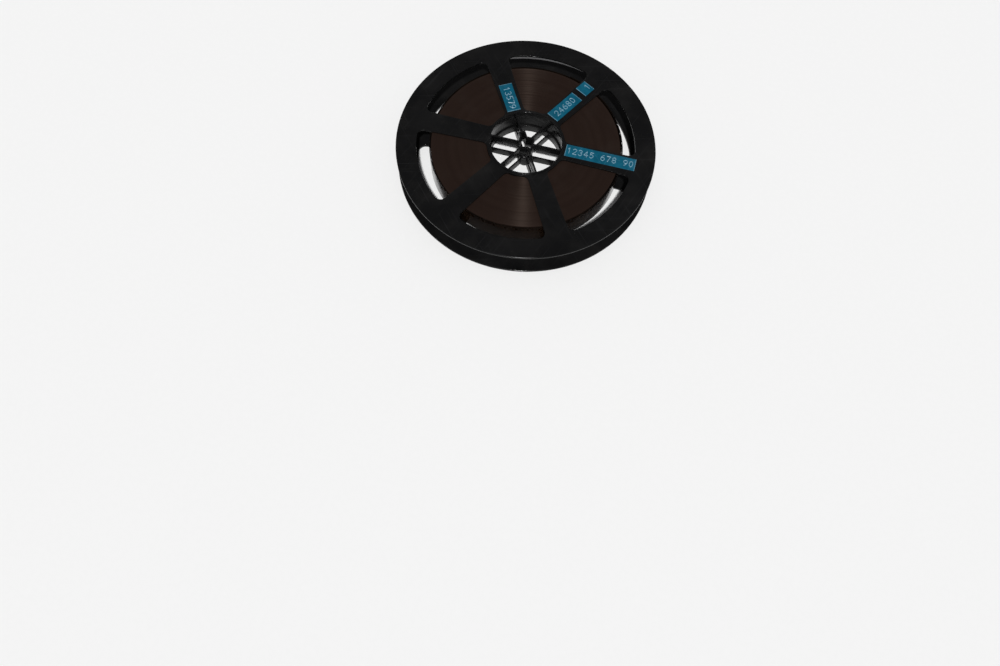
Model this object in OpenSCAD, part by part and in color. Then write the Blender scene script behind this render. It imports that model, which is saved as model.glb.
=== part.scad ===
// Cine film reel: a 7 inch reel of moulded plastic, wound with 16 mm film.
// +Z is the spindle axis, with the labelled flange up. The origin is the centre of the face
// that the reel lies on, and a spoke of both flanges points along +X. Millimetres.

/* [Flanges] */
// Diameter of both flanges
flange_d = 178; // [165:1:240]
// Thickness of a flange plate
flange_t = 1.3; // [1.1:0.1:2.5]
// Width of the raised bead round the rim
bead_w = 3.5; // [2:0.1:6]
// Height of the bead above the plate
bead_h = 0.2; // [0.1:0.05:0.6]
// Radius of the rounded edge of the rim
rim_round = 0.5; // [0.2:0.05:0.55]

/* [Windows] */
// Number of spokes, with a window between each two
spokes = 6; // [5:1:7]
// Width of the solid rim outside the windows
rim_w = 14; // [10:0.5:18]
// Width of a spoke at the rim
spoke_rim_w = 15.5; // [13:0.5:18]
// Width of a spoke at the hub
spoke_hub_w = 13.5; // [11:0.5:15]
// Radius of the window corners
window_corner = 4.5; // [2:0.5:5]
// How far the corner circles reach past the window edges
corner_relief = 0.01; // [0.005:0.005:0.05]
// Width of the ledge between the drum and the windows
ledge_w = 0.2; // [0.2:0.1:3]

/* [Hub] */
// Diameter of the drum that the film winds on
drum_d = 53.4; // [50:0.2:64]
// Wall of the drum
drum_wall = 1; // [0.8:0.1:3]
// Wall of the spigot by which each flange plugs into the drum
spigot_wall = 0.9; // [0.8:0.1:2.5]
// Length of a spigot inside the drum
spigot_l = 4; // [2:0.5:7]
// Width of the raised lip round the hub opening
lip_w = 1.2; // [0.8:0.1:1.8]
// Height of the lip above the plate
lip_h = 0.8; // [0.6:0.1:1.5]
// Radius of the rounded edges of the lip
lip_round = 0.3; // [0.1:0.05:0.35]
// Thickness of the ribs from the boss to the spigot
rib_t = 1.1; // [0.8:0.1:3]
// Depth of the ribs, here level with the end of the spigot
rib_h = 5.3; // [2:0.1:7]
// Wall of the spindle bosses, the square one and the round one
boss_wall = 1.2; // [0.8:0.1:2]
// Diameter that rounds off the corners of the square boss
boss_corner_d = 13.2; // [12.4:0.1:14.2]
// Length of the spindle boss of each flange
boss_l = 8; // [4:0.5:9]
// Spindle hole: across the flats of the square one and across the round one
spindle_d = 8.1; // [7:0.1:8.2]
// Width of the keyway beside the square hole
keyway_w = 2.4; // [1.5:0.1:4]
// Distance from the axis to the end of the keyway
keyway_r = 8.6; // [7:0.1:11]
// Width of the slot that holds the inner end of the film
slot_w = 1.5; // [1:0.1:3]
// Width of the key that lines up the flanges
key_w = 3; // [2:0.1:5]
// Clearance of the spigots, of the key and of the film on the drum
fit = 0.05; // [0.02:0.01:0.15]

/* [Film] */
// Width of the film
film_w = 16; // [16:0.5:35]
// Thickness of the film
film_t = 0.15; // [0.1:0.01:0.18]
// Clearance between each edge of the film and the flange beside it
film_side = 0.4; // [0.3:0.05:1]
// Diameter of the wound film under its outer turns
pack_d = 130.4; // [80:0.2:140]
// Clearance of the outer turns round the wound film
turn_clear = 0.3; // [0.2:0.05:1]
// Radial step from one outer turn to the next
turn_step = 0.6; // [0.6:0.05:1]
// Number of half turns in the outer layer
half_turns = 4; // [3:1:6]
// Direction in which the free end of the film lies
film_end_angle = 75; // [0:5:355]
// Distance from one perforation to the next
perf_pitch = 7.62; // [7.6:0.005:7.62]
// Size of a perforation along the film
perf_l = 1.27; // [1:0.01:1.4]
// Size of a perforation across the film
perf_w = 1.83; // [1.5:0.01:2]
// Margin between a perforation and the edge of the film
perf_margin = 0.9; // [0.7:0.05:1.2]

/* [Label tapes] */
// Width of the embossed label tape
tape_w = 9.5; // [6:0.5:10]
// Thickness of the tape
tape_t = 0.3; // [0.15:0.05:0.6]
// Length of the tape on the left spoke
left_tape_l = 23.5; // [12:0.5:40]
// Length of the inner tape on the right spoke
inner_tape_l = 25.5; // [12:0.5:28]
// Length of the outer tape on the right spoke
outer_tape_l = 9; // [6:0.5:14]
// Gap between the two tapes on the right spoke
tape_gap = 4.5; // [1:0.5:6]
// Length of the long tape that lies on the rim
tape_overrun = 1; // [0:0.2:5]

/* [Hidden] */
$fn = 96;

black = [0.055, 0.055, 0.06];
film_brown = [0.15, 0.105, 0.085];
tape_blue = [0.06, 0.43, 0.6];

// Heights above the face that the reel lies on
plate_z = max(bead_h, lip_h);
inside_w = film_w + 2 * film_side;
rear_inside_z = plate_z + flange_t;
front_inside_z = rear_inside_z + inside_w;
front_plate_z = front_inside_z + flange_t;
reel_h = front_plate_z + plate_z;
film_z = rear_inside_z + film_side;

// Radii, from the rim in to the spindle
flange_r = flange_d / 2;
window_outer_r = flange_r - rim_w;
drum_r = drum_d / 2;
window_inner_r = drum_r + ledge_w;
drum_bore_r = drum_r - drum_wall;
spigot_r = drum_bore_r - fit;
hub_r = spigot_r - spigot_wall;

// Radii of the film
pack_r = pack_d / 2;
pack_bore_r = drum_r + fit;
first_turn_r = pack_r + turn_clear;

// Directions of the spokes, the keyway, the film slot and the key
spoke_step = 360 / spokes;
right_spoke = spoke_step;
left_spoke = 2 * spoke_step;
keyway_angle = left_spoke;
slot_angle = 270;
key_angle = 330;

// Where the tapes lie on their spokes: distance from the hub opening, and to the side of the spoke
long_tape_start = 2.85;
long_tape_side = 1.15;
right_tape_start = 3.4;
inner_tape_side = 1.35;
outer_tape_side = 1.85;
left_tape_start = 2.9;
left_tape_side = 0.4;
long_tape_l = window_outer_r + tape_overrun - hub_r - long_tape_start;
outer_tape_start = right_tape_start + inner_tape_l + tape_gap;

// How far a cutting tool reaches past the face that it cuts
past = 1;

function polar(r, a) = r * [cos(a), sin(a)];
function unit(v) = v / norm(v);

// Radius and sideways shift of one half turn of the film. The half turns have two centres by
// turns, half a step apart, so each begins where the one before it ends.
function half_turn_r(h) = first_turn_r + h * turn_step / 2;
function half_turn_x(h) = h % 2 * turn_step / 2;

// A point on the middle of the film after a degrees of winding
function turn_point(a) = let (h = min(floor(a / 180), half_turns - 1))
    [half_turn_x(h), 0] + polar(half_turn_r(h) + film_t / 2, a);

// Length of film before half turn h, along its middle
function film_before(h) = PI * (h * (first_turn_r + film_t / 2) + turn_step / 2 * h * (h - 1) / 2);

// Least gap between the outer turns, measured on points a good half turn or more apart
gap_points = [for (a = [0:10:180 * half_turns]) turn_point(a)];
least_gap = min([for (i = [0:len(gap_points) - 1], j = [0:len(gap_points) - 1])
    if (j - i > 20) norm(gap_points[i] - gap_points[j]) - film_t]);
echo(str("Least gap between the outer turns of film: ", least_gap, " mm"));

// A ring round the spindle axis, standing on z = 0
module ring(outer_r, inner_r, h) {
    linear_extrude(h) difference() {
        circle(outer_r);
        circle(inner_r);
    }
}

// A cut through a wall round the axis, of a given width, in the direction +X
module wall_cut(width, from_r, to_r, h) {
    translate([from_r, -width / 2, 0]) cube([to_r - from_r, width, h]);
}

// One window, between the spoke on +X and the next. Its four corner circles reach past the spoke
// edges and the round edges by the relief, so that each arc crosses the edges that it joins.
module window() {
    corner_in = window_corner - corner_relief;
    outer_c = window_outer_r - corner_in;
    inner_c = window_inner_r + corner_in;
    outer_a = asin((spoke_rim_w / 2 + corner_in) / outer_c);
    inner_a = asin((spoke_hub_w / 2 + corner_in) / inner_c);
    outer_1 = polar(outer_c, outer_a);
    inner_1 = polar(inner_c, inner_a);
    outer_2 = polar(outer_c, spoke_step - outer_a);
    inner_2 = polar(inner_c, spoke_step - inner_a);
    along_1 = unit(outer_1 - inner_1);
    along_2 = unit(outer_2 - inner_2);
    side_1 = corner_in * [along_1.y, -along_1.x];
    side_2 = corner_in * [-along_2.y, along_2.x];
    // A factor that carries the corner centres outside the round edge
    beyond = 1.5;

    for (centre = [outer_1, inner_1, outer_2, inner_2]) translate(centre) circle(window_corner);
    polygon([inner_1, inner_1 + side_1, outer_1 + side_1, outer_1,
             outer_2, outer_2 + side_2, inner_2 + side_2, inner_2]);
    intersection() {
        circle(window_outer_r);
        polygon([outer_1, beyond * outer_1, beyond * outer_2, outer_2]);
    }
    difference() {
        polygon([[0, 0], inner_1, inner_2]);
        circle(window_inner_r);
    }
}

// Section of a flange without its windows: hub lip, spigot, plate and rounded rim bead
module flange_section() {
    bead_t = bead_h + flange_t;
    bead_flat = bead_w - rim_round;
    lip_t = lip_h + flange_t / 2;
    translate([hub_r, plate_z]) square([spigot_wall, flange_t + spigot_l]);
    translate([hub_r, plate_z]) square([flange_r - bead_w / 2 - hub_r, flange_t]);
    translate([hub_r, plate_z - lip_h]) {
        translate([lip_round, 0]) square([lip_w - 2 * lip_round, lip_t]);
        translate([0, lip_round]) square([lip_w, lip_t - lip_round]);
        for (x = [lip_round, lip_w - lip_round]) translate([x, lip_round]) circle(lip_round);
    }
    translate([flange_r - bead_w, plate_z - bead_h]) {
        square([bead_flat, bead_t]);
        translate([0, rim_round]) square([bead_w, bead_t - 2 * rim_round]);
        for (y = [rim_round, bead_t - rim_round]) translate([bead_flat, y]) circle(rim_round);
    }
}

// The keyway beside the square hole, grown by a wall
module keyway(wall) {
    rotate(keyway_angle) translate([0, -keyway_w / 2 - wall])
        square([keyway_r + wall, keyway_w + 2 * wall]);
}

// Outline of the square boss: the hole and its keyway with a wall round them, the corners rounded off
module square_boss() {
    intersection() {
        square(spindle_d + 2 * boss_wall, center = true);
        circle(d = boss_corner_d);
    }
    keyway(boss_wall);
}

// The square spindle hole with its keyway
module square_hole() {
    square(spindle_d, center = true);
    keyway(0);
}

// A flange with its outer face down: rim, spokes, lip, spigot, hub ribs and spindle boss in one
// moulding. The outline of the boss is the first child and the spindle hole the second.
module flange() {
    difference() {
        union() {
            rotate_extrude() flange_section();
            for (k = [0:spokes - 1]) rotate(k * spoke_step)
                translate([0, -rib_t / 2, plate_z]) cube([hub_r + spigot_wall / 2, rib_t, rib_h]);
            translate([0, 0, plate_z]) linear_extrude(boss_l) children(0);
        }
        for (k = [0:spokes - 1]) rotate(k * spoke_step)
            translate([0, 0, plate_z - past]) linear_extrude(flange_t + 2 * past) window();
        translate([0, 0, rear_inside_z]) {
            rotate(slot_angle) wall_cut(slot_w, hub_r - past, spigot_r + past, spigot_l + past);
            rotate(key_angle) wall_cut(key_w + 2 * fit, hub_r - past, spigot_r + past, spigot_l + past);
        }
        translate([0, 0, plate_z - past]) linear_extrude(boss_l + 2 * past) children(1);
    }
}

module rear_flange() {
    color(black) flange() {
        circle(d = spindle_d + 2 * boss_wall);
        circle(d = spindle_d);
    }
}

module front_flange() {
    color(black) translate([0, 0, reel_h]) mirror([0, 0, 1]) flange() {
        square_boss();
        square_hole();
    }
}

// The drum between the flanges, with the slot for the film and the key for both spigots
module core_drum() {
    color(black) translate([0, 0, rear_inside_z]) difference() {
        union() {
            ring(drum_r, drum_bore_r, inside_w);
            intersection() {
                ring(drum_r - drum_wall / 2, hub_r, inside_w);
                rotate(key_angle) wall_cut(key_w, 0, drum_r, inside_w);
            }
        }
        rotate(slot_angle) translate([0, 0, -past])
            wall_cut(slot_w, hub_r - past, drum_r + past, inside_w + 2 * past);
    }
}

// The wound film, with its inner end tucked into the slot of the drum
module film_pack() {
    color(film_brown) translate([0, 0, film_z]) {
        ring(pack_r, pack_bore_r, film_w);
        rotate(slot_angle) wall_cut(film_t, hub_r + fit, pack_bore_r + past, film_w);
    }
}

// Perforations along half turn h, at one pitch from the inner end of the film
module perforations(h) {
    middle_r = half_turn_r(h) + film_t / 2;
    first = ceil(film_before(h) / perf_pitch + perf_l / perf_pitch);
    last = floor(film_before(h + 1) / perf_pitch - perf_l / perf_pitch);
    for (i = [first:last]) {
        a = (i * perf_pitch - film_before(h)) / middle_r * 180 / PI;
        rotate(180 * h + a) translate([middle_r, 0, film_w - perf_margin - perf_w / 2])
            cube([turn_step, perf_l, perf_w], center = true);
    }
}

// The outer turns of the film and its free end, one ribbon in half turns
module film_outer_turns() {
    color(film_brown) translate([0, 0, film_z]) rotate(film_end_angle - 180 * half_turns)
        for (h = [0:half_turns - 1]) translate([half_turn_x(h), 0, 0]) difference() {
            rotate(180 * h) rotate_extrude(angle = 180)
                translate([half_turn_r(h), 0]) square([film_t, film_w]);
            perforations(h);
        }
}

// A strip of label tape on the front flange, along the spoke in direction a
module label_tape(a, start, length, side) {
    color(tape_blue) rotate(a) translate([hub_r + start, side - tape_w / 2, front_plate_z])
        cube([length, tape_w, tape_t]);
}

module long_label_tape() {
    label_tape(0, long_tape_start, long_tape_l, long_tape_side);
}

module inner_label_tape() {
    label_tape(right_spoke, right_tape_start, inner_tape_l, inner_tape_side);
}

module outer_label_tape() {
    label_tape(right_spoke, outer_tape_start, outer_tape_l, outer_tape_side);
}

module left_label_tape() {
    label_tape(left_spoke, left_tape_start, left_tape_l, left_tape_side);
}

rear_flange();
front_flange();
core_drum();
film_pack();
film_outer_turns();
long_label_tape();
inner_label_tape();
outer_label_tape();
left_label_tape();
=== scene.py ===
# %% [markdown]
# # A cine film reel
# A reel like this holds about a quarter of an hour of 16 mm film. Two black plastic flanges with
# windows clip onto a drum, the film is wound between them, and whoever owned this one stuck embossed
# label tape on its spokes. The CAD model gives the sizes, the places and what moves; this lesson puts a
# finished surface over each piece.

# %% Load the frame
import math

import bmesh
import bpy
import numpy as np
from mathutils import Matrix, Vector


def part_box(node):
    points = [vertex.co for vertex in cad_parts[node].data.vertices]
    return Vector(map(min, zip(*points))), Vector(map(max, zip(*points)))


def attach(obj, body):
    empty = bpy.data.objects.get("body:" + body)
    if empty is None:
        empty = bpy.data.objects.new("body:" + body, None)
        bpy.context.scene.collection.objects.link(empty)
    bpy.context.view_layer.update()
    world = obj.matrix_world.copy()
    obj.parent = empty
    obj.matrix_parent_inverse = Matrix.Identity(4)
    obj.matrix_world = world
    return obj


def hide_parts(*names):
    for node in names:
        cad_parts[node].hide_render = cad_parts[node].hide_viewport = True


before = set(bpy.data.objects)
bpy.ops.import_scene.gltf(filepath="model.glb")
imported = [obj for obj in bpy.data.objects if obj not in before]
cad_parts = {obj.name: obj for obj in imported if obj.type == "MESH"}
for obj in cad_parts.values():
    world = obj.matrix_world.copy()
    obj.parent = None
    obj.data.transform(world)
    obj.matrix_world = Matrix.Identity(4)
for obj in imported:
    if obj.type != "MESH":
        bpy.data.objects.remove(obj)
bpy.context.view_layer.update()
MM = 0.001


def box_mm(node):
    """Lowest and highest corner of a CAD node in millimetres, rounded to a hundredth."""
    return np.round(np.array(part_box(node)) / MM, 2)


# %% [markdown]
# ## The camera
# A round flange shows as an ellipse, and how far that ellipse and the windows in it are squeezed gives
# the lens, the height and the distance of the camera. A camera could be moved by eye until the picture
# looks right, but numbers that were fitted once put every edge where the photograph has it.

# %% Place the camera
IMAGE_W, IMAGE_H = 1000, 666
FOCAL_PX = 763.0
AXIS_TILT = 1.18852
ROLL = 0.04427
DEPTH = 522.5
HUB_PX = np.array([525.9, 142.6])
VIEW_TURN = math.radians(12)
SENSOR = 36.0
NEAREST = 0.01
FACE_Z = box_mm("long_label_tape")[0][2]

back = np.array([0, -math.cos(AXIS_TILT), math.sin(AXIS_TILT)])
level_right = np.array([1.0, 0, 0])
level_up = np.array([0, math.sin(AXIS_TILT), math.cos(AXIS_TILT)])
right = math.cos(ROLL) * level_right + math.sin(ROLL) * level_up
up = math.cos(ROLL) * level_up - math.sin(ROLL) * level_right
hub_x = (HUB_PX[0] - IMAGE_W / 2) / FOCAL_PX
hub_y = (IMAGE_H / 2 - HUB_PX[1]) / FOCAL_PX
eye = DEPTH * (back - hub_x * right - hub_y * up)

turn = np.array(Matrix.Rotation(VIEW_TURN, 3, "Z"))
camera_axes = turn @ np.stack([right, up, back], axis=1)
camera_place = turn @ eye + [0, 0, FACE_Z]
camera_data = bpy.data.cameras.new("photo_camera")
camera_data.sensor_width = SENSOR
camera_data.lens = FOCAL_PX / IMAGE_W * SENSOR
camera_data.clip_start = NEAREST
camera = bpy.data.objects.new("photo_camera", camera_data)
camera.matrix_world = Matrix.Translation(camera_place * MM) @ Matrix(camera_axes.tolist()).to_4x4()
bpy.context.scene.collection.objects.link(camera)
bpy.context.scene.camera = camera
print("Camera at", np.round(camera_place), "mm, lens", round(camera_data.lens, 1), "mm")

# %% [markdown]
# ## From arrays to pieces
# Every surface below is one or more grids of points, worked out by numpy as whole arrays. A grid knows
# its neighbours by place, so its quads need no search, and grids that share a border are welded there.
# Each point also carries a number, such as how far it lies on a rounded edge, and the finishes read it.

# %% Weld grids into one mesh
WELD = 2e-6


def grid_quads(rows, cols):
    """Quads between each point of a grid stored row by row, the next in its row, and the two below."""
    corner = (np.arange(rows - 1)[:, None] * cols + np.arange(cols - 1)).ravel()
    return np.stack([corner, corner + 1, corner + cols + 1, corner + cols], axis=1)


def weld(name, patches, attribute):
    """One mesh from patches, welded where they meet, and the number of edges left open.

    A patch is a grid of points in mm and the values of an attribute at them."""
    grids = [grid for grid, _ in patches]
    sizes = [grid.shape[0] * grid.shape[1] for grid in grids]
    starts = np.cumsum([0] + sizes[:-1])
    points = np.concatenate([grid.reshape(-1, 3) for grid in grids]) * MM
    quads = np.concatenate([grid_quads(*grid.shape[:2]) + s for grid, s in zip(grids, starts)])
    marks = np.concatenate([np.broadcast_to(m, grid.shape[:2]).ravel() for grid, m in patches])
    mesh = bpy.data.meshes.new(name)
    mesh.from_pydata(points.tolist(), [], quads.tolist())
    mesh.attributes.new(attribute, "FLOAT", "POINT").data.foreach_set("value", marks.astype(np.float32))
    shell = bmesh.new()
    shell.from_mesh(mesh)
    bmesh.ops.remove_doubles(shell, verts=shell.verts, dist=WELD)
    bmesh.ops.recalc_face_normals(shell, faces=shell.faces)
    loose = sum(e.is_boundary for e in shell.edges)
    shell.to_mesh(mesh)
    shell.free()
    return mesh, loose


print("A grid of 3 by 4 points has", len(grid_quads(3, 4)), "quads")

# %% Make a piece of it
SHARP = math.radians(35)


def make_piece(name, patches, body, finish, nodes, attribute="edge"):
    """A piece that rides on a body, has a finish and stands for CAD nodes, from patches of points."""
    mesh, loose = weld(name, patches, attribute)
    mesh.shade_smooth()
    mesh.set_sharp_from_angle(angle=SHARP)
    mesh.materials.append(finish)
    piece = bpy.data.objects.new(name, mesh)
    bpy.context.scene.collection.objects.link(piece)
    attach(piece, body)
    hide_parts(*nodes)
    print(f"{name}: {len(mesh.polygons)} faces, {loose} open edges")


print("Faces that meet at over", round(math.degrees(SHARP)), "degrees keep a crisp edge")

# %% [markdown]
# ## Wear that several finishes share
# Old plastic is never one colour. Its edges are rubbed paler, dust lies on what faces up, fingers leave
# duller and shinier patches, and each time the reel slid over a table it gained hairline scratches. Each
# of these is a node group that puts out a mask, built once and placed in several finishes.

# %% Nodes and their sockets


def feed(tree, socket, value):
    """Links an output to a node's input, or writes a value into it."""
    if isinstance(value, bpy.types.NodeSocket):
        tree.links.new(value, socket)
    else:
        socket.default_value = value


def feed_all(tree, node, **sockets):
    """Feeds a node's inputs by name, with an underscore for each space."""
    for name, value in sockets.items():
        feed(tree, node.inputs[name.replace("_", " ")], value)


def add(tree, kind, settings=(), **sockets):
    """A shader node with its settings made and its inputs fed by name."""
    node = tree.nodes.new("ShaderNode" + kind)
    for name, value in dict(settings).items():
        setattr(node, name, value)
    feed_all(tree, node, **sockets)
    return node


def maths(tree, operation, *values):
    """The result of a Math node, of sockets and numbers."""
    node = add(tree, "Math", {"operation": operation})
    for socket, value in zip(node.inputs, values):
        feed(tree, socket, value)
    return node.outputs[0]


# %% Ramps, blends and noise
MIX_FACTOR, MIX_FIRST, MIX_SECOND, MIX_RESULT = 0, 6, 7, 2


def ramp(tree, value, low, high, to_low=0.0, to_high=1.0):
    """A value carried from one range to another, clamped, with a soft start and end."""
    ends = {"From_Min": low, "From_Max": high, "To_Min": to_low, "To_Max": to_high}
    node = add(tree, "MapRange", {"interpolation_type": "SMOOTHSTEP"}, Value=value, **ends)
    return node.outputs["Result"]


def blend(tree, mask, first, second):
    """A colour between two, each a socket or three numbers, by a mask."""
    node = add(tree, "Mix", {"data_type": "RGBA"})
    feed(tree, node.inputs[MIX_FACTOR], mask)
    for number, colour in ((MIX_FIRST, first), (MIX_SECOND, second)):
        feed(tree, node.inputs[number], (*colour, 1.0) if isinstance(colour, tuple) else colour)
    return node.outputs[MIX_RESULT]


def noise(tree, place, scale, detail=2.0, dimensions="3D"):
    """Soft noise of about 0 to 1 at a number of features to the metre."""
    source = {"W" if dimensions == "1D" else "Vector": place}
    node = add(tree, "TexNoise", {"noise_dimensions": dimensions}, Scale=scale, Detail=detail, **source)
    return node.outputs[0]


# %% Node groups


def new_group(name, inputs, output):
    """An empty node group with named inputs, given as (name, default), and one float output."""
    group = bpy.data.node_groups.new(name, "ShaderNodeTree")
    for title, default in inputs:
        kind = "NodeSocketVector" if default is None else "NodeSocketFloat"
        socket = group.interface.new_socket(title, in_out="INPUT", socket_type=kind)
        if default is not None:
            socket.default_value = default
    group.interface.new_socket(output, in_out="OUTPUT", socket_type="NodeSocketFloat")
    return group, group.nodes.new("NodeGroupInput").outputs, group.nodes.new("NodeGroupOutput").inputs[0]


def place_group(tree, group, **sockets):
    """A group placed in a material, with its sockets set or linked by name."""
    node = add(tree, "Group", {"node_tree": group}, **sockets)
    return node.outputs[0]


# %% Edge wear
edge_wear, given, put_out = new_group("edge_wear", [("Place", None), ("Edge", 0.0), ("Amount", 0.5)], "Mask")
chips = ramp(edge_wear, noise(edge_wear, given["Place"], 420.0, 4.0), 0.38, 0.66)
mask = maths(edge_wear, "MULTIPLY", maths(edge_wear, "MULTIPLY", chips, given["Edge"]), given["Amount"])
edge_wear.links.new(mask, put_out)
print("Edge wear:", len(edge_wear.nodes), "nodes")

# %% Dust
dust, given, put_out = new_group("dust", [("Place", None), ("Amount", 0.5)], "Mask")
normal = add(dust, "NewGeometry").outputs["Normal"]
facing_up = ramp(dust, add(dust, "SeparateXYZ", Vector=normal).outputs["Z"], 0.5, 0.95)
specks = add(dust, "TexVoronoi", Vector=given["Place"], Scale=260.0, Randomness=1.0)
near_speck = ramp(dust, specks.outputs["Distance"], 0.11, 0.02)
some_specks = ramp(dust, noise(dust, given["Place"], 90.0), 0.5, 0.62)
specks_mask = maths(dust, "MULTIPLY", near_speck, some_specks)
haze = ramp(dust, noise(dust, given["Place"], 60.0, 6.0), 0.45, 0.8, 0.0, 0.25)
settled = maths(dust, "MULTIPLY", maths(dust, "MAXIMUM", specks_mask, haze), facing_up)
dust.links.new(maths(dust, "MULTIPLY", settled, given["Amount"]), put_out)
print("Dust:", len(dust.nodes), "nodes")

# %% Hairline scratches
SCRATCH_LENGTH, SCRATCH_WIDTH = 1 / 22, 1 / 1500
hairlines, given, put_out = new_group("hairlines", [("Place", None), ("Density", 0.5)], "Mask")
lines = []
for angle, shift in ((0.3, 0.0), (1.2, 0.4), (2.3, 0.9)):
    turned_place = add(hairlines, "Mapping", {"vector_type": "TEXTURE"}, Vector=given["Place"],
                       Rotation=(0, 0, angle), Location=(shift, shift, 0),
                       Scale=(SCRATCH_LENGTH, SCRATCH_WIDTH, SCRATCH_LENGTH))
    lines.append(ramp(hairlines, noise(hairlines, turned_place.outputs[0], 1.0, 1.0), 0.68, 0.74))
most = maths(hairlines, "MAXIMUM", maths(hairlines, "MAXIMUM", lines[0], lines[1]), lines[2])
hairlines.links.new(maths(hairlines, "MULTIPLY", most, given["Density"]), put_out)
print("Hairlines:", len(hairlines.nodes), "nodes")

# %% Handling
handling, given, put_out = new_group("handling", [("Place", None), ("Size", 40.0)], "Mask")
broad = add(handling, "TexNoise", Vector=given["Place"], Scale=given["Size"], Detail=5.0, Roughness=0.6)
handling.links.new(ramp(handling, broad.outputs[0], 0.32, 0.7), put_out)
print("Handling:", len(handling.nodes), "nodes")

# %% [markdown]
# ## Black plastic
# The flanges are moulded in a black plastic with a half-matt skin. A black that reflects nothing looks
# like a hole in the picture, so the base is only very dark, and the shape shows in its gloss: the
# roughness goes up and down with handling, and a fine bump breaks the reflections. Rounded edges are
# rubbed smooth, so there the bump fades, the gloss rises and the lamp shows as a short bright line.

# %% Start a finish


def new_finish(name):
    """A material, its node tree, the Principled shader that it puts out, and its Object coordinates."""
    finish = bpy.data.materials.new(name)
    finish.use_nodes = True
    tree = finish.node_tree
    tree.nodes.clear()
    shader = tree.nodes.new("ShaderNodeBsdfPrincipled")
    output = tree.nodes.new("ShaderNodeOutputMaterial")
    tree.links.new(shader.outputs[0], output.inputs["Surface"])
    return finish, tree, shader, add(tree, "TexCoord").outputs["Object"]


def bump(tree, shader, height, depth_mm, strength):
    """Lets a height of 0 to 1 tilt the shader's normal, over a depth in mm."""
    node = add(tree, "Bump", Height=height, Distance=depth_mm * MM, Strength=strength)
    tree.links.new(node.outputs[0], shader.inputs["Normal"])


# %% Black plastic finish
black_plastic, tree, shader, place = new_finish("reel_plastic")
on_edge = add(tree, "Attribute", {"attribute_name": "edge"}).outputs["Fac"]
worn = place_group(tree, edge_wear, Place=place, Edge=on_edge, Amount=0.15)
dusty = place_group(tree, dust, Place=place, Amount=0.12)
scratched = place_group(tree, hairlines, Place=place, Density=0.5)
touched = place_group(tree, handling, Place=place, Size=38.0)
mottled = blend(tree, touched, (0.0038, 0.0038, 0.004), (0.0056, 0.0055, 0.0056))
scuffed = blend(tree, maths(tree, "MULTIPLY", scratched, 0.35), mottled, (0.035, 0.035, 0.037))
rubbed = blend(tree, worn, scuffed, (0.016, 0.016, 0.017))
dull = maths(tree, "ADD", ramp(tree, touched, 0.0, 1.0, 0.24, 0.37), maths(tree, "MULTIPLY", dusty, 0.4))
off_edge = maths(tree, "SUBTRACT", 1.0, on_edge)
polished = maths(tree, "MULTIPLY_ADD", off_edge, 0.55, 0.45)
skin = maths(tree, "SUBTRACT", noise(tree, place, 2600.0, 3.0), scratched)
bump(tree, shader, maths(tree, "MULTIPLY", skin, off_edge), 0.02, 0.35)
feed_all(tree, shader, Base_Color=blend(tree, dusty, rubbed, (0.16, 0.15, 0.135)),
         Roughness=maths(tree, "MULTIPLY", dull, polished), Specular_IOR_Level=0.2)
print("Finish:", black_plastic.name)

# %% [markdown]
# ## The flanges
# A flange is one moulding: a rim with a raised bead, six spokes, a ring that plugs into the drum, six
# ribs and a boss for the spindle. Booleans would cut the windows out of a disc, but leave hard edges,
# and a real moulding has none. So the flange is laid out in sixty degree cells. In each cell a grid runs
# from the cell's border to the outline of its opening, over a rounded edge, down the wall, round the
# lower edge and back to the border. The rim, the lip round the hub and the ring in the drum are profiles
# turned about the axis.

# %% Smooth outlines


def polar(r, angle):
    """Points at radius r in the direction of an angle in radians: r times its cosine and its sine."""
    return np.stack([r * np.cos(angle), r * np.sin(angle)], axis=-1)


def smooth_outline(stretches):
    """Outline and outward normals from stretches (centre, end centre, radius, angle, end angle, steps).

    Each point is the centre plus the radius times the direction of the angle, all of which run evenly
    from start to end. An even angle gives a straight edge, and a negative radius a hollow arc."""
    outline, normals = [], []
    for c0, c1, r, a0, a1, steps in stretches:
        t = np.arange(steps)[:, None] / steps
        normal = polar(1.0, a0 + (a1 - a0) * t[:, 0])
        outline.append(np.array(c0) * (1 - t) + np.array(c1) * t + r * normal)
        normals.append(normal)
    return np.concatenate(outline), np.concatenate(normals)


# %% An opening in a sixty degree cell
SPOKES = 6
HALF_CELL = math.pi / SPOKES
CORNER_STEPS, SPOKE_STEPS, RIM_STEPS, COLLAR_STEPS = 6, 16, 36, 24


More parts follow.
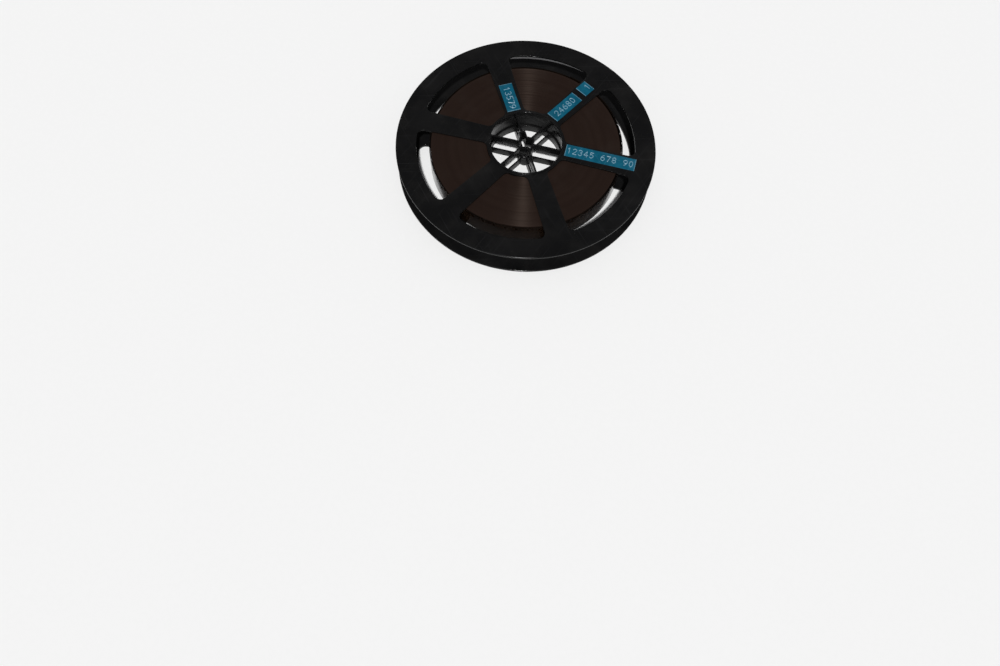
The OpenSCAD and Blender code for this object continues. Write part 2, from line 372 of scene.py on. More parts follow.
def sector_opening(outer_r, inner_r, outer_w, inner_w, corner):
    """Outline of an opening between two spokes, with normals into the plastic, from mid corner to mid corner.

    The four corner circles touch the round edges and lie half a spoke's width and their own radius from
    the middle of the spoke. Each side with its two half corners has as many steps as the cell's border."""
    half, side = CORNER_STEPS, SPOKE_STEPS
    outer, inner = RIM_STEPS - 2 * half, COLLAR_STEPS - 2 * half
    a_o = HALF_CELL - math.asin((outer_w / 2 + corner) / (outer_r - corner))
    a_i = HALF_CELL - math.asin((inner_w / 2 + corner) / (inner_r + corner))
    mirror = np.array([1, -1])
    out_c, in_c = polar(outer_r - corner, a_o), polar(inner_r + corner, a_i)
    across = math.atan2(*(out_c - in_c)[::-1]) + math.pi / 2
    mid_o, mid_i = (a_o + across) / 2, (across + math.pi + a_i) / 2
    full, zero = 2 * math.pi, (0.0, 0.0)
    return smooth_outline([
        (out_c * mirror, out_c * mirror, corner, full - mid_o, full - a_o, half),
        (zero, zero, outer_r, -a_o, a_o, outer),
        (out_c, out_c, corner, a_o, mid_o, half),
        (out_c, out_c, corner, mid_o, across, half),
        (out_c, in_c, corner, across, across, side),
        (in_c, in_c, corner, across, mid_i, half),
        (in_c, in_c, corner, mid_i, math.pi + a_i, half),
        (zero, zero, -inner_r, math.pi + a_i, math.pi - a_i, inner),
        (in_c * mirror, in_c * mirror, corner, math.pi - a_i, full - mid_i, half),
        (in_c * mirror, in_c * mirror, corner, full - mid_i, full - across, half),
        (in_c * mirror, out_c * mirror, corner, full - across, full - across, side),
        (out_c * mirror, out_c * mirror, corner, full - across, full - mid_o, half),
    ])


def cell_border(outer_r, inner_r):
    """Border of a cell from its lower outer corner: outer arc, side, inner arc and side, in even steps."""
    side_steps = SPOKE_STEPS + 2 * CORNER_STEPS
    t = [np.arange(n) / n for n in (RIM_STEPS, side_steps, COLLAR_STEPS, side_steps)]
    return np.concatenate([
        polar(outer_r, HALF_CELL * (2 * t[0] - 1)),
        polar(outer_r + (inner_r - outer_r) * t[1], np.full(side_steps, HALF_CELL)),
        polar(inner_r, HALF_CELL * (1 - 2 * t[2])),
        polar(inner_r + (outer_r - inner_r) * t[3], np.full(side_steps, -HALF_CELL)),
    ])


# %% A wall with rounded edges
FILLET_STEPS = 5


def with_height(flat, z):
    """Flat points with a height, both spread to one shape."""
    z = np.broadcast_to(z, flat.shape[:-1])
    return np.concatenate([flat, z[..., None]], axis=-1)


def wall_profile(top, low, top_round, low_round, support):
    """Offsets into the plastic, heights and edge values of a wall with rounded edges, from top to bottom.

    A quarter circle at each end leaves the face smoothly: offset r (1 - sin t), drop r (1 - cos t). One
    more row a little way out keeps the shading of the flat face flat."""
    t = np.linspace(0, math.pi / 2, FILLET_STEPS + 1)
    offset = np.concatenate([[top_round + support], top_round * (1 - np.sin(t)),
                             low_round * (1 - np.sin(t[::-1])), [low_round + support]])
    height = np.concatenate([[top], top - top_round * (1 - np.cos(t)),
                             low + low_round * (1 - np.cos(t[::-1])), [low]])
    curve = np.sin(2 * t)
    edge = np.concatenate([[0], curve, curve[::-1], [0]])
    return offset, height, edge


def opening_cell(outline, normals, border, profile):
    """Grid over one cell: its border above, the wall profile carried round the opening, its border below."""
    offset, height, edge = profile
    wall = with_height(outline + offset[:, None, None] * normals, height[:, None])
    rows = [with_height(border, height[0])[None], wall, with_height(border, height[-1])[None]]
    grid = np.concatenate(rows)
    edge = np.concatenate([[0], edge, [0]])[:, None]
    return np.concatenate([grid, grid[:, :1]], axis=1), edge


# %% Copies round the axis


def turned(grid, angle):
    """A grid turned about the spindle axis: each point times the matrix of that turn."""
    return grid @ np.array(Matrix.Rotation(angle, 3, "Z")).T


def round_cells(cell):
    """A cell's patch repeated round the spindle axis."""
    grid, edge = cell
    return [(turned(grid, HALF_CELL * (2 * k + 1)), edge) for k in range(SPOKES)]


# %% Windows of a flange
FLANGE_R = round(float(box_mm("front_flange")[1].max()), 0)
PLATE_T, EDGE_ROUND, EDGE_SUPPORT = 1.3, 0.12, 0.2
RIM_W, WINDOW_MARGIN = 14.0, 2
WINDOW_OUT, WINDOW_IN, WINDOW_CORNER = FLANGE_R - RIM_W, 26.9, 4.5
SPOKE_RIM_W, SPOKE_HUB_W = 15.5, 13.5
RIM_IN, COLLAR = WINDOW_OUT + WINDOW_MARGIN, 26.1

window_line = sector_opening(WINDOW_OUT, WINDOW_IN, SPOKE_RIM_W, SPOKE_HUB_W, WINDOW_CORNER)
window_wall = wall_profile(0, -PLATE_T, EDGE_ROUND, EDGE_ROUND, EDGE_SUPPORT)
windows = round_cells(opening_cell(*window_line, cell_border(RIM_IN, COLLAR), window_wall))
print("Window:", window_line[0].shape[0], "points round it,", len(windows), "of them")

# %% Profiles turned about the axis


def all_round(steps):
    """Angles once round the axis and back to the first, in even steps to each cell."""
    return np.linspace(0, 2 * math.pi, SPOKES * steps + 1)


def revolve(profile, angles):
    """A grid of a profile of (radius, height) pairs, one row each, carried round the spindle axis."""
    flat = polar(profile[:, :1], angles[None, :])
    return with_height(flat, profile[:, 1:])


def arc(centre, r, start_deg, end_deg, steps):
    """Points at radius r round a centre, from one direction to another in even steps."""
    return np.array(centre) + polar(r, np.radians(np.linspace(start_deg, end_deg, steps + 1)))


# %% Rim with its bead
BEAD_W, BEAD_H, BEAD_RAMP, BEAD_STEPS = 3.5, 0.2, 1.6, 8
RIM_ROUND, RIM_SUPPORT, ROUND_STEPS = 0.5, 0.3, 6

# The bead rises from the flat of the rim along half a wave of a cosine.
t = np.linspace(0, 1, BEAD_STEPS + 1)
bead_ramp = np.stack([FLANGE_R - BEAD_W + BEAD_RAMP * t, BEAD_H * (1 - np.cos(math.pi * t)) / 2], axis=1)
round_r = FLANGE_R - RIM_ROUND
rim_profile = np.concatenate([
    [[RIM_IN, 0]],
    bead_ramp,
    [[round_r - RIM_SUPPORT, BEAD_H]],
    arc((round_r, BEAD_H - RIM_ROUND), RIM_ROUND, 90, 0, ROUND_STEPS),
    arc((round_r, RIM_ROUND - PLATE_T), RIM_ROUND, 0, -90, ROUND_STEPS),
    [[round_r - RIM_SUPPORT, -PLATE_T], [RIM_IN, -PLATE_T]],
])
half_round = np.sin(np.linspace(0, math.pi, ROUND_STEPS + 1))
rim_edge = np.concatenate([np.zeros(BEAD_STEPS + 3), half_round, half_round, np.zeros(2)])
rim = (revolve(rim_profile, all_round(RIM_STEPS)), rim_edge[:, None])
print("Rim:", rim[0].shape[:2], "points")

# %% Lip and spigot
HUB_R, SPIGOT_R, HUB_DEPTH = 24.75, 25.65, 5.3
LIP_W, LIP_H, LIP_ROUND, LIP_SUNK, LIP_PROUD = 1.2, 0.8, 0.3, 0.4, 0.05

lip_in, lip_out = HUB_R - LIP_PROUD, HUB_R + LIP_W
lip_profile = np.concatenate([
    [[lip_out, -LIP_SUNK]],
    arc((lip_out - LIP_ROUND, LIP_H - LIP_ROUND), LIP_ROUND, 0, 90, ROUND_STEPS),
    arc((lip_in + LIP_ROUND, LIP_H - LIP_ROUND), LIP_ROUND, 90, 180, ROUND_STEPS),
    [[lip_in, -LIP_SUNK], [lip_out, -LIP_SUNK]],
])
lip_edge = np.concatenate([[0], half_round, half_round, [0, 0]])
lip = (revolve(lip_profile, all_round(3 * COLLAR_STEPS)), lip_edge[:, None])
spigot_profile = np.array([[SPIGOT_R, -HUB_DEPTH], [SPIGOT_R, -PLATE_T], [COLLAR, -PLATE_T]])
spigot = (revolve(spigot_profile, all_round(COLLAR_STEPS)), 0.0)
print("Lip:", lip[0].shape[:2], "points")

# %% [markdown]
# ### Ribs and boss
# Six thin ribs carry the boss that sits on the spindle. On the front it is a square tube with a keyway
# beside it, on the rear a round one. Outlines like these have an easy form in polar terms: a straight edge
# at some distance from the axis has a radius of that distance over a cosine, and the larger of two radii
# joins two shapes. For each opening between the ribs, points on the cell's border are drawn towards the
# middle of the opening until they come free of the plastic.

# %% Boss outlines
HOLE_W, BOSS_WALL, BOSS_CORNER_R, BOSS_L = 8.1, 1.2, 6.6, 8.0
KEYWAY_W, KEYWAY_R, KEYWAY_ANGLE = 2.4, 8.6, math.radians(120)
CORNER_RATE, SMALL = 0.6, 1e-6


def round_hole(angle, wall):
    """Radius of a round hole grown by a wall, in a direction."""
    return HOLE_W / 2 + wall + 0 * angle


def keyed_square(angle, wall):
    """Radius of a square hole with its keyway, both grown by a wall, in a direction.

    The square's radius is half its side over the larger of sine and cosine, held in by a circle that
    rounds its corners. The keyway's is the smaller of its end's and its sides' radii."""
    square = (HOLE_W / 2 + wall) / np.maximum(np.abs(np.cos(angle)), np.abs(np.sin(angle)))
    corner = BOSS_CORNER_R - CORNER_RATE * (BOSS_WALL - wall)
    ahead, beside = np.cos(angle - KEYWAY_ANGLE), np.abs(np.sin(angle - KEYWAY_ANGLE))
    keyway_end = (KEYWAY_R + wall) / np.maximum(ahead, SMALL)
    keyway_side = (KEYWAY_W / 2 + wall) / np.maximum(beside, SMALL)
    keyway = np.where(ahead > 0, np.minimum(keyway_end, keyway_side), 0)
    return np.maximum(np.minimum(square, corner), keyway)


print("Hole corners lie", round(float(keyed_square(math.pi / 4, 0)), 2), "mm from the axis")

# %% Openings between the ribs
RIB_T, RIB_STEPS, BOSS_STEPS, HALVINGS = 1.1, 20, 48, 30


def hub_border(first, last, outer_r, boss_line, wall):
    """Border of a hub cell: outer arc, along a rib's middle, round the boss's wall and back along a rib."""
    t = [np.arange(n) / n for n in (COLLAR_STEPS, RIB_STEPS, BOSS_STEPS, RIB_STEPS)]
    ends = boss_line(np.array([last, first]), wall)
    round_boss = last + (first - last) * t[2]
    return np.concatenate([
        polar(outer_r, first + (last - first) * t[0]),
        polar(outer_r + (ends[0] - outer_r) * t[1], np.full(RIB_STEPS, last)),
        polar(boss_line(round_boss, wall), round_boss),
        polar(ends[1] + (outer_r - ends[1]) * t[3], np.full(RIB_STEPS, first)),
    ])


def draw_in(centre, border, offset, boss_line):
    """Border points drawn towards a centre until they are clear of wall, ribs and boss, less an offset.

    Halving the stretch between centre and border again and again closes in on the place."""
    clear_at, solid_at = np.zeros((len(offset), len(border))), np.ones((len(offset), len(border)))
    offset = offset[:, None]
    for _ in range(HALVINGS):
        share = (clear_at + solid_at) / 2
        point = centre + share[..., None] * (border - centre)
        r, angle = np.hypot(point[..., 0], point[..., 1]), np.arctan2(point[..., 1], point[..., 0])
        from_rib = np.mod(angle, 2 * HALF_CELL)
        from_rib = r * np.sin(np.minimum(from_rib, 2 * HALF_CELL - from_rib))
        room = np.minimum(HUB_R + offset - r, from_rib - RIB_T / 2 + offset)
        clear = np.minimum(room, r - boss_line(angle, BOSS_WALL - offset)) > 0
        clear_at, solid_at = np.where(clear, share, clear_at), np.where(clear, solid_at, share)
    return centre + clear_at[..., None] * (border - centre)


# %% Hub cells and boss
HUB_ROUND, FOOT_ROUND, HUB_SUPPORT, LOW_IN, MIDDLE_SHARE = 0.15, 0.05, 0.03, 0.1, 0.62


def hub_cell(k, boss_line):
    """Grid over one opening of the hub: upper border, rounded wall down to the rib's foot, lower border."""
    first, last = 2 * HALF_CELL * k, 2 * HALF_CELL * (k + 1)
    offset, height, edge = wall_profile(0, -HUB_DEPTH, HUB_ROUND, FOOT_ROUND, HUB_SUPPORT)
    centre = polar(MIDDLE_SHARE * HUB_R, np.array(first + HALF_CELL))
    top = hub_border(first, last, COLLAR, boss_line, BOSS_WALL / 2)
    low = hub_border(first, last, SPIGOT_R, boss_line, BOSS_WALL - LOW_IN)
    wall = with_height(draw_in(centre, top, offset, boss_line), height[:, None])
    grid = np.concatenate([with_height(top, 0.0)[None], wall, with_height(low, -HUB_DEPTH)[None]])
    edge = np.concatenate([[0], edge, [0]])
    return np.concatenate([grid, grid[:, :1]], axis=1), edge[:, None]


def boss(boss_line):
    """The boss from its top face over the hole's rounded edge, down the hole and up the outside."""
    offset, height, edge = wall_profile(0, -BOSS_L, HUB_ROUND, HUB_ROUND, HUB_SUPPORT)
    foot = np.array([BOSS_WALL - LOW_IN - HUB_ROUND, BOSS_WALL - LOW_IN, BOSS_WALL - LOW_IN])
    wall = np.concatenate([[BOSS_WALL / 2], offset, foot])
    height = np.concatenate([[0], height, [-BOSS_L, HUB_ROUND - BOSS_L, -HUB_DEPTH]])
    angle = np.broadcast_to(all_round(BOSS_STEPS), (len(wall), SPOKES * BOSS_STEPS + 1))
    edge = np.concatenate([[0], edge, np.zeros(3)])
    return with_height(polar(boss_line(angle, wall[:, None]), angle), height[:, None]), edge[:, None]


# %% Put the flanges together


def flange(name, boss_line, place_patch):
    """A flange piece: rim, windows, lip, spigot, hub and boss, each grid put in place by a function."""
    patches = [rim, lip, spigot, boss(boss_line)] + windows + [hub_cell(k, boss_line) for k in range(SPOKES)]
    placed = [(place_patch(grid), edge) for grid, edge in patches]
    make_piece(name + "_moulding", placed, "reel", black_plastic, [name])


flange("front_flange", keyed_square, lambda grid: grid + [0, 0, FACE_Z])
flange("rear_flange", round_hole, lambda grid: grid * [1, 1, -1] + [0, 0, LIP_H])

# %% [markdown]
# ## The drum
# The drum between the flanges shows only inside the hub, as a plain dark wall with its slot and key. Its
# CAD shape is the real one, so it stays and only takes the plastic finish.

# %% Finish the drum
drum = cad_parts["core_drum"]
drum.data.materials.clear()
drum.data.materials.append(black_plastic)
print("Drum:", len(drum.data.polygons), "faces")

# %% [markdown]
# ## Wound film
# From above, wound film is hundreds of edges side by side. No two turns lie at quite the same height, so
# the light breaks up into rings, and a bright streak runs across them towards the light, as on a record.
# A bump map fine enough for that would only flicker, so the finish has a gloss that is much rougher across
# the turns than along them. Rings of one height would look turned on a lathe, so the pack is one spiral:
# the height belongs to a place along the film, and each turn takes up where the one before it ends.

# %% Film finish
film_finish, tree, shader, place = new_finish("film_edges")
axes = add(tree, "SeparateXYZ", Vector=place)
squares = [maths(tree, "MULTIPLY", axes.outputs[n], axes.outputs[n]) for n in ("X", "Y")]
radius = maths(tree, "SQRT", maths(tree, "ADD", *squares))
fine_rings = noise(tree, radius, 5200.0, 2.0, "1D")
bands = noise(tree, radius, 150.0, 3.0, "1D")
turns_tint = blend(tree, ramp(tree, bands, 0.3, 0.7), (0.0135, 0.0077, 0.006), (0.0168, 0.0098, 0.0077))
ring_tint = blend(tree, ramp(tree, fine_rings, 0.35, 0.7, 0.0, 0.55), turns_tint, (0.025, 0.0165, 0.013))
dusty = place_group(tree, dust, Place=place, Amount=0.1)
uneven = noise(tree, radius, 800.0, 4.0, "1D")
outward = add(tree, "CombineXYZ", X=axes.outputs["X"], Y=axes.outputs["Y"]).outputs[0]
across_turns = add(tree, "VectorTransform", {"convert_from": "OBJECT", "convert_to": "WORLD"}, Vector=outward)
feed_all(tree, shader, Base_Color=blend(tree, dusty, ring_tint, (0.16, 0.145, 0.125)),
         Roughness=ramp(tree, uneven, 0.3, 0.7, 0.28, 0.46), Tangent=across_turns.outputs[0],
         Anisotropic=1.0, Specular_IOR_Level=0.095, Specular_Tint=(1.0, 0.76, 0.62, 1.0))
print("Finish:", film_finish.name)

# %% Heights along the film
pack_low, pack_high = box_mm("film_pack")
PACK_R = round(float(pack_high[0]), 1)
PACK_BORE, LAYER, PACK_COLS = 26.75, 0.3, 150
TURNS = int((PACK_R - PACK_BORE) / LAYER) - 1
RIPPLE_TURNS, SWELL_TURNS, UNEVEN_MM = 0.37, 5, 0.03
LEVEL_TURNS, SETTLE_TURNS = 1, 2
random = np.random.default_rng(16)


def along_film(turns, spacing, size):
    """Smooth random heights along the film: values at even places, joined by straight lines."""
    knots = np.arange(0, TURNS + 2, spacing)
    return size * np.interp(turns, knots, random.uniform(-1, 1, len(knots)))


angle = np.linspace(0, 2 * math.pi, PACK_COLS + 1)
wound = np.arange(TURNS)[:, None] + angle[None, :] / (2 * math.pi)
after_start = np.clip((wound - LEVEL_TURNS) / SETTLE_TURNS, 0, 1)
before_end = np.clip((TURNS - 1 - LEVEL_TURNS - wound) / SETTLE_TURNS, 0, 1)
uneven_height = along_film(wound, RIPPLE_TURNS, UNEVEN_MM) + along_film(wound, SWELL_TURNS, UNEVEN_MM)
rise = after_start * before_end * uneven_height
print(f"Edges lie {rise.min():.3f} to {rise.max():.3f} mm off level over the {TURNS} turns drawn")

# %% The wound pack
FILM_LOW, FILM_HIGH = pack_low[2], pack_high[2]
SLOT_ANGLE = math.radians(270)

inner_edge = polar(PACK_BORE + LAYER * wound, np.broadcast_to(angle, wound.shape))
outer_edge = polar(PACK_BORE + LAYER * (wound + 1), np.broadcast_to(angle, wound.shape))
rows = np.stack([inner_edge, outer_edge], axis=1).reshape(2 * TURNS, PACK_COLS + 1, 2)
heights = np.repeat(rise, 2, axis=0)
front = turned(with_height(rows, FILM_HIGH + heights), SLOT_ANGLE)
rear = turned(with_height(rows, FILM_LOW + heights), SLOT_ANGLE)
pack_patches = [(front, 0.0), (rear, 0.0)]
for line in (0, -1):
    pack_patches.append((np.stack([front[line], rear[line]]), 0.0))
for lines, column in ((slice(0, 2), 0), (slice(-2, None), -1)):
    pack_patches.append((np.stack([front[lines, column], rear[lines, column]]), 0.0))
make_piece("film_pack_spiral", pack_patches, "reel", film_finish, ["film_pack"])

# %% [markdown]
# ## The outer turns
# The last turns of a wound film are always a little loose, and their perforations show from the side. A
# boolean for each of a hundred holes would be slow and rough. Instead one pitch of flat film with its hole
# is laid out as a grid, repeated along the length of the film, and then bent as a whole onto the winding.
# Both faces and the narrow cut faces between them are bent alike, so the ribbon is closed and its edges
# are crisp. Its face is glossy, with marks that run along the film. Its colour is the film's dark brown,
# darkened further as painted shade for the narrow gap between the flanges where the outer turns lie.

# %% Film face finish
ribbon_finish, tree, shader, place = new_finish("film_face")
touched = place_group(tree, handling, Place=place, Size=90.0)
across_film = add(tree, "SeparateXYZ", Vector=place).outputs["Z"]
running = noise(tree, across_film, 700.0, 2.0, "1D")
# Face colour: the film's own dark brown, made darker still as painted shade from the gap between the flanges.
face_tint_with_painted_shade = blend(tree, touched, (0.004, 0.0021, 0.0011), (0.008, 0.0042, 0.0022))
run_marks = ramp(tree, running, 0.5, 0.75, 0.0, 0.2)
bump(tree, shader, running, 0.03, 0.2)
feed_all(tree, shader, Base_Color=blend(tree, run_marks, face_tint_with_painted_shade, (0.05, 0.042, 0.035)),
         Roughness=ramp(tree, touched, 0.0, 1.0, 0.12, 0.24), Specular_IOR_Level=0.45)
print("Finish:", ribbon_finish.name)

# %% One pitch of perforated film


def rounded_rectangle(half, corner, corner_steps, side_steps):
    """Stretches of a rectangle with round corners, from the middle of its first corner.

    half is half its length and width, less the corner's radius."""
    centres = [half * c for c in ((1, 1), (-1, 1), (-1, -1), (1, -1))]
    quarter, mid = math.pi / 2, corner_steps // 2
    stretches = []
    for k in range(4):
        here, after = centres[k], centres[(k + 1) % 4]
        stretches.append((here, here, corner, (k + 0.5) * quarter, (k + 1) * quarter, mid))
        stretches.append((here, after, corner, (k + 1) * quarter, (k + 1) * quarter, side_steps))
        stretches.append((after, after, corner, (k + 1) * quarter, (k + 1.5) * quarter, mid))
    return stretches


FILM_W, PITCH = FILM_HIGH - FILM_LOW, 7.62
PERF_L, PERF_W, PERF_MARGIN, PERF_CORNER = 1.27, 1.83, 0.9, 0.25
SIDE_STEPS, REST_STEPS = 8, 6
perf_mid = FILM_W - PERF_MARGIN - PERF_W / 2
band_low = FILM_W - 2 * PERF_MARGIN - PERF_W
perf_half = np.array([PERF_L, PERF_W]) / 2 - PERF_CORNER
perf_line = rounded_rectangle(perf_half, PERF_CORNER, SIDE_STEPS // 2, SIDE_STEPS // 2)
perf_points = smooth_outline(perf_line)[0] + [0, perf_mid]
t = np.arange(SIDE_STEPS)[:, None] / SIDE_STEPS
high, low = np.array([PITCH / 2, FILM_W]), np.array([PITCH / 2, band_low])
far_high, far_low = high * [-1, 1], low * [-1, 1]
border = np.concatenate([a + (b - a) * t for a, b in (
    (high, far_high), (far_high, far_low), (far_low, low), (low, high))])
perf_cell = np.stack([perf_points, (perf_points * 2 + border) / 3, border])
perf_cell = np.concatenate([perf_cell, perf_cell[:, :1]], axis=1)
rest_across = np.linspace(0, band_low, REST_STEPS + 1)
rest_cell = np.stack(np.meshgrid(np.linspace(-PITCH / 2, PITCH / 2, SIDE_STEPS + 1), rest_across), axis=-1)
print("Flat film cell:", perf_cell.shape[:2], "points round the hole and", rest_cell.shape[:2], "beside it")

# %% Bend it onto the winding
FILM_T, TURN_GAP = 0.15, 0.3
FIRST_TURN, TURN_STEP, HALF_TURNS, END_ANGLE = PACK_R + TURN_GAP, 0.6, 4, math.radians(75)
half_turn = np.arange(HALF_TURNS)
half_r = FIRST_TURN + half_turn * TURN_STEP / 2 + FILM_T / 2
half_x = half_turn % 2 * TURN_STEP / 2
half_start = np.concatenate([[0], np.cumsum(math.pi * half_r)])


def bend_film(flat, out):
    """Flat film (along, across) on the winding: half turns about two centres by turns, each a little wider.

    out is how far outside the middle of the film's thickness the points lie."""
    along, across = flat[..., 0], flat[..., 1]
    h = np.clip(np.searchsorted(half_start, along, side="right") - 1, 0, HALF_TURNS - 1)
    point = polar(half_r[h] + out, math.pi * h + (along - half_start[h]) / half_r[h])
    point[..., 0] += half_x[h]
    return turned(with_height(point, FILM_LOW + across), END_ANGLE)


film_length = half_start[-1]
print(f"Outer turns: {film_length:.0f} mm of film")

# %% Faces and cut edges of the ribbon
END_POINTS = 5


def film_faces(flat):
    """The outer and the inner face of a stretch of film."""
    return [(bend_film(flat, out), 0.0) for out in (FILM_T / 2, -FILM_T / 2)]


def cut_face(line):
    """The narrow face between the outer and the inner face, along a line where the film is cut."""
    return [(np.stack([grid for grid, _ in film_faces(line)]), 0.0)]


count = int(film_length / PITCH - 0.5)
all_across = np.concatenate([rest_across, np.linspace(band_low, FILM_W, SIDE_STEPS + 1)[1:]])
turn_patches = []
for i in range(1, count + 1):
    with_hole, beside = perf_cell + [i * PITCH, 0], rest_cell + [i * PITCH, 0]
    turn_patches += film_faces(with_hole) + film_faces(beside)
    for line in (with_hole[0], with_hole[-1, :SIDE_STEPS + 1], beside[0]):
        turn_patches += cut_face(line)
for start, end, last in ((0, PITCH / 2, 0), ((count + 0.5) * PITCH, film_length, -1)):
    plain = np.stack(np.meshgrid(np.linspace(start, end, END_POINTS), all_across), axis=-1)
    turn_patches += film_faces(plain)
    for line in (plain[0], plain[-1], plain[:, last]):
        turn_patches += cut_face(line)
make_piece("film_outer_ribbon", turn_patches, "outer_film", ribbon_finish, ["film_outer_turns"])
print("Perforations:", count)

# %% [markdown]
# ## Embossed label tape
# Label tape is a glossy vinyl strip. A hand punch raises each sign, and the stretched vinyl turns white
# there. Text objects could be raised out of the strip, but their sides would be cliffs, and real ones are
# soft humps. So the strip is a height field: the distance of each point from the strokes of a plain figure
# gives the height, and the same number tells the finish where the vinyl has gone white, as it has at the
# cut ends. The figures only count, they name nothing.

# %% Label tape finish
label_finish, tree, shader, place = new_finish("tape_vinyl")
raised = add(tree, "Attribute", {"attribute_name": "emboss"}).outputs["Fac"]
patchy = noise(tree, place, 900.0, 3.0)
white = maths(tree, "MULTIPLY", ramp(tree, raised, 0.45, 0.95), ramp(tree, patchy, 0.25, 0.6, 0.65, 1.0))
touched = place_group(tree, handling, Place=place, Size=180.0)
scratched = place_group(tree, hairlines, Place=place, Density=0.6)
dusty = place_group(tree, dust, Place=place, Amount=0.12)
vinyl = blend(tree, touched, (0.001, 0.074, 0.125), (0.002, 0.105, 0.175))
scuffed = blend(tree, maths(tree, "MULTIPLY", scratched, 0.4), vinyl, (0.06, 0.2, 0.3))
stretched = blend(tree, white, scuffed, (0.2, 0.37, 0.47))
bump(tree, shader, noise(tree, place, 700.0, 2.0), 0.03, 0.25)
feed_all(tree, shader, Base_Color=blend(tree, dusty, stretched, (0.4, 0.45, 0.48)),
         Roughness=ramp(tree, touched, 0.0, 1.0, 0.24, 0.42), Specular_IOR_Level=0.3)
print("Finish:", label_finish.name)

# %% Strokes of plain figures
STROKE_POINTS = 60


def bow(cx, cy, rx, ry, start_deg, end_deg):
    """Points on an arc of an ellipse: its centre plus its half axes times cosine and sine."""
    a = np.radians(np.linspace(start_deg, end_deg, STROKE_POINTS))
    return np.stack([cx + rx * np.cos(a), cy + ry * np.sin(a)], axis=1)


def bar(x0, y0, x1, y1):
    """Points on a straight stroke, in even steps from end to end."""
    t = np.linspace(0, 1, STROKE_POINTS)[:, None]
    return np.array([x0, y0]) * (1 - t) + np.array([x1, y1]) * t


FIGURES = {
    "0": [bow(0.3, 0.5, 0.28, 0.5, 0, 360)],
    "1": [bar(0.12, 0.78, 0.34, 1), bar(0.34, 1, 0.34, 0)],
    "2": [bow(0.3, 0.72, 0.28, 0.28, 165, -35), bar(0.53, 0.56, 0.02, 0), bar(0.02, 0, 0.6, 0)],
    "3": [bow(0.28, 0.75, 0.27, 0.25, 150, -90), bow(0.28, 0.25, 0.3, 0.25, 90, -150)],
    "4": [bar(0.44, 0, 0.44, 1), bar(0.44, 1, 0, 0.3), bar(0, 0.3, 0.6, 0.3)],
    "5": [bar(0.55, 1, 0.1, 1), bar(0.1, 1, 0.06, 0.54), bow(0.27, 0.32, 0.31, 0.32, 130, -145)],
    "6": [bow(0.3, 0.3, 0.29, 0.3, 0, 360), bow(0.62, 0.32, 0.61, 0.68, 180, 105)],
    "7": [bar(0, 1, 0.6, 1), bar(0.6, 1, 0.22, 0)],
    "8": [bow(0.3, 0.75, 0.25, 0.25, 0, 360), bow(0.3, 0.25, 0.29, 0.25, 0, 360)],
    "9": [bow(0.3, 0.7, 0.29, 0.3, 0, 360), bow(-0.02, 0.68, 0.61, 0.68, 0, -75)],
}
print("Figures:", "".join(FIGURES))

# %% Raised figures
FIGURE_H, FIGURE_PITCH = 4.2, 3.9
STROKE_HALF, STROKE_SOFT = 0.28, 0.2


def raised_figures(along, across, figures, first):
    """Height from 0 to 1 at flat points: 1 on a stroke, falling softly to 0 a little way beside it."""
    height = np.zeros(along.shape)
    for i, figure in enumerate(figures):
        if figure == " ":
            continue
        strokes = np.concatenate(FIGURES[figure]) * FIGURE_H + [first + i * FIGURE_PITCH, -FIGURE_H / 2]
        away = np.hypot(along[..., None] - strokes[:, 0], across[..., None] - strokes[:, 1]).min(axis=-1)
        step = np.clip((STROKE_HALF + STROKE_SOFT - away) / (2 * STROKE_SOFT), 0, 1)
        height = np.maximum(height, step * step * (3 - 2 * step))
    return height


# %% A strip of tape
TAPE_W, TAPE_T, TAPE_CELL, EMBOSS_H = 9.5, 0.3, 0.14, 0.3
SHOULDER, SHOULDER_DROP, CUT_W, CUT_MARK = 0.42, 0.08, 1.3, 0.9


def label_tape(node, spoke_deg, start, length, side, figures, first, inward=False):
    """A strip along a spoke: a height field over a flat underside, with its figures read outward or inward.

    start and side place its inner end and its middle line on the spoke, and first is where its figures
    begin, in mm. The height falls by a square law on the shoulder along its edges, and the mark that makes
    the vinyl white rises evenly towards the cut ends."""
    cols, rows = int(length / TAPE_CELL) + 1, int(TAPE_W / TAPE_CELL) + 1
    along, across = np.meshgrid(np.linspace(0, length, cols), np.linspace(-TAPE_W / 2, TAPE_W / 2, rows))
    sign = -1 if inward else 1
    read = length - along if inward else along
    emboss = raised_figures(read, sign * across, figures, first)
    from_end = np.minimum(along, length - along)
    from_edge = np.minimum(from_end, TAPE_W / 2 - np.abs(across))
    shoulder = SHOULDER_DROP * np.clip(1 - from_edge / SHOULDER, 0, 1) ** 2
    flat = np.stack([start + along, side + across], axis=-1)
    top = with_height(flat, FACE_Z + TAPE_T - shoulder + EMBOSS_H * emboss)
    low = with_height(flat, FACE_Z)
    mark = np.maximum(emboss, CUT_MARK * np.clip(1 - from_end / CUT_W, 0, 1))
    patches = [(top, mark), (low, 0.0)]
    for line in (np.s_[0, :], np.s_[-1, :], np.s_[:, 0], np.s_[:, -1]):
        patches.append((np.stack([top[line], low[line]]), 0.0))
    placed = [(turned(grid, math.radians(spoke_deg)), values) for grid, values in patches]
    make_piece(node + "_strip", placed, "reel", label_finish, [node], attribute="emboss")


# %% Tapes on the spokes
label_tape("long_label_tape", 0, HUB_R + 2.85, length=48.4, side=1.15, figures="12345 678 90", first=1.2)
label_tape("inner_label_tape", 60, HUB_R + 3.4, length=25.5, side=1.35, figures="24680", first=3.6)
label_tape("outer_label_tape", 60, HUB_R + 33.4, length=9.0, side=1.85, figures="1", first=5.2)
label_tape("left_label_tape", 120, HUB_R + 2.9, length=23.5, side=0.4, figures="13579", first=3.2,
           inward=True)

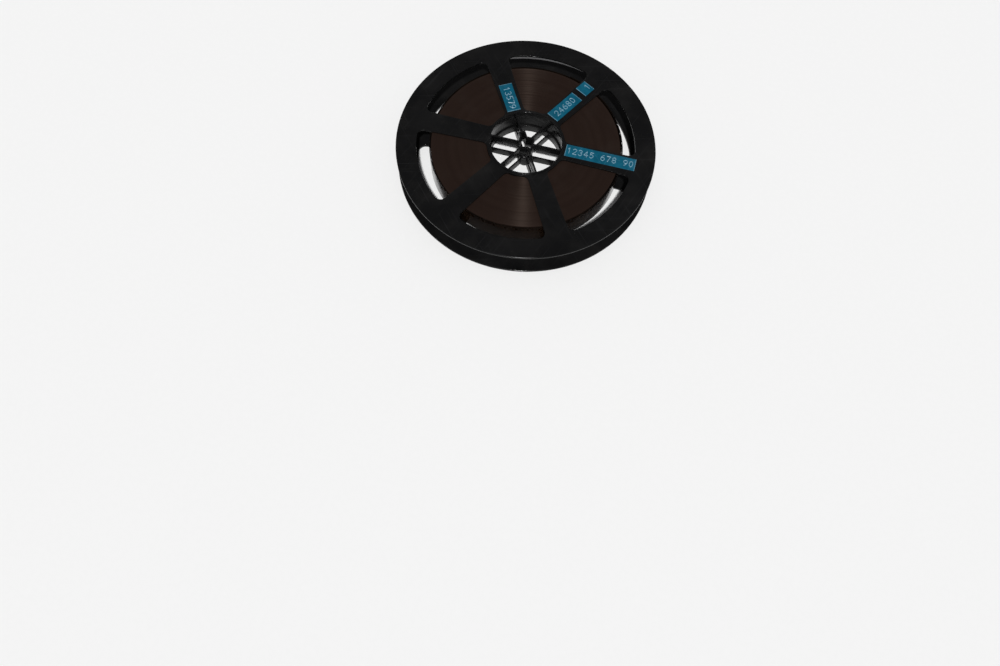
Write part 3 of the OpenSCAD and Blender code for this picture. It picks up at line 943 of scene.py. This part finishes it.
# %% [markdown]
# ## Floor and light
# Black plastic is shown by what it reflects, so the light is planned for the reflections. The key light
# stands near the camera, where no flat face mirrors it into the lens, and only the rounded edges catch
# it. The sky is dim, most of all overhead, which keeps the flat faces dark. The lens and the reflections
# see a pale horizon instead, as behind a studio table, and it adds no light of its own to matt surfaces.
# A white floor fills in from below and shows through the windows.

# %% Floor
FLOOR_HALF, FLOOR_GAP = 3.0, 0.00005
floor_mesh = bpy.data.meshes.new("floor")
corners = np.array([[-1, -1], [1, -1], [1, 1], [-1, 1]]) * FLOOR_HALF
floor_mesh.from_pydata(with_height(corners, -FLOOR_GAP).tolist(), [], [[0, 1, 2, 3]])
floor = bpy.data.objects.new("floor", floor_mesh)
bpy.context.scene.collection.objects.link(floor)
floor_finish, tree, shader, place = new_finish("pale_floor")
grain = noise(tree, place, 300.0, 3.0)
feed_all(tree, shader, Base_Color=blend(tree, grain, (0.93, 0.93, 0.925), (0.95, 0.95, 0.945)),
         Roughness=0.8, Specular_IOR_Level=0.1)
floor_mesh.materials.append(floor_finish)
print("Floor:", 2 * FLOOR_HALF, "m square")

# %% Key light


def sun(name, azimuth_deg, elevation_deg, strength, soft_deg):
    """A soft lamp of even light from a direction, given as on a map: azimuth from +X towards +Y."""
    azimuth, elevation = math.radians(azimuth_deg), math.radians(elevation_deg)
    flat = polar(math.cos(elevation), np.array(azimuth))
    data = bpy.data.lights.new(name, "SUN")
    data.energy, data.angle = strength, math.radians(soft_deg)
    lamp = bpy.data.objects.new(name, data)
    aim = Vector((-flat[0], -flat[1], -math.sin(elevation)))
    lamp.rotation_euler = aim.to_track_quat("-Z", "Y").to_euler()
    bpy.context.scene.collection.objects.link(lamp)
    print(f"{name}: {elevation_deg} degrees up, {soft_deg} degrees wide")


sun("key_light", azimuth_deg=-77, elevation_deg=60, strength=2.95, soft_deg=4)

# %% Sky
OVERHEAD, DIM_HORIZON, PALE_HORIZON = (0.14, 0.14, 0.145), (0.35, 0.35, 0.35), (0.9, 0.9, 0.9)

world = bpy.data.worlds.new("studio_sky")
world.use_nodes = True
bpy.context.scene.world = world
sky = world.node_tree
sky.nodes.clear()
direction = add(sky, "TexCoord").outputs["Generated"]
climb = add(sky, "SeparateXYZ", Vector=direction).outputs["Z"]
shade = blend(sky, ramp(sky, climb, 0.08, 0.45), DIM_HORIZON, OVERHEAD)
shown = blend(sky, ramp(sky, climb, 0.12, 0.34), PALE_HORIZON, OVERHEAD)
rays = add(sky, "LightPath").outputs
mirrored = maths(sky, "MAXIMUM", rays["Is Glossy Ray"], rays["Is Transmission Ray"])
seen = maths(sky, "MAXIMUM", rays["Is Camera Ray"], mirrored)
background = add(sky, "Background", Color=blend(sky, seen, shade, shown))
output = sky.nodes.new("ShaderNodeOutputWorld")
sky.links.new(background.outputs[0], output.inputs["Surface"])
bpy.context.scene.view_settings.view_transform = "Standard"
print("Sky:", len(sky.nodes), "nodes")
